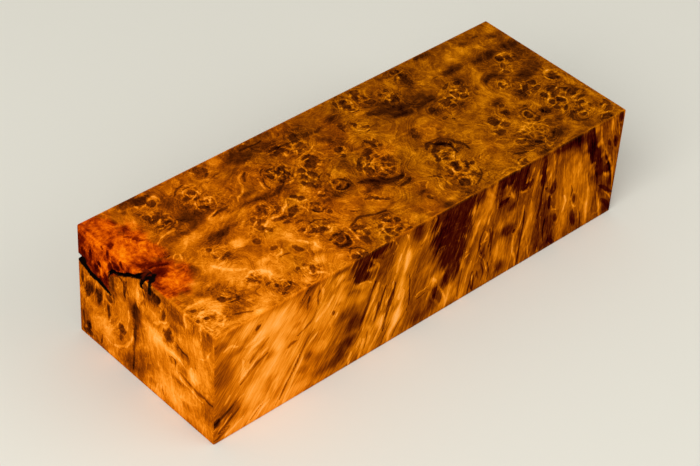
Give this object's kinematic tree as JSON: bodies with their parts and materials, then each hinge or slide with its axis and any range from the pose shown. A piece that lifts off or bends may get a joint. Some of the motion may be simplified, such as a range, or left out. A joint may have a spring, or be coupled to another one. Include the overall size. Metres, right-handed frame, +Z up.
{
  "type": "stabilized amboyna burl block",
  "caption": "Rectangular sawn block of resin-stabilized burl wood with broken arrises and an open natural fissure at one corner.",
  "frame": {"origin": "centre of the wide face that the block rests on", "axes": "+X along the length, away from the end with the fissure; +Y across the width, towards the long side that the fissure runs out on; +Z up, along the burl's eyes"},
  "size_m": [0.13, 0.0486, 0.032],
  "materials": {
    "stabilized_burl": "satin, fine-sanded resin-stabilized wood"
  },
  "bodies": {
    "root": {"burl_block": "stabilized_burl"}
  },
  "joints": []
}
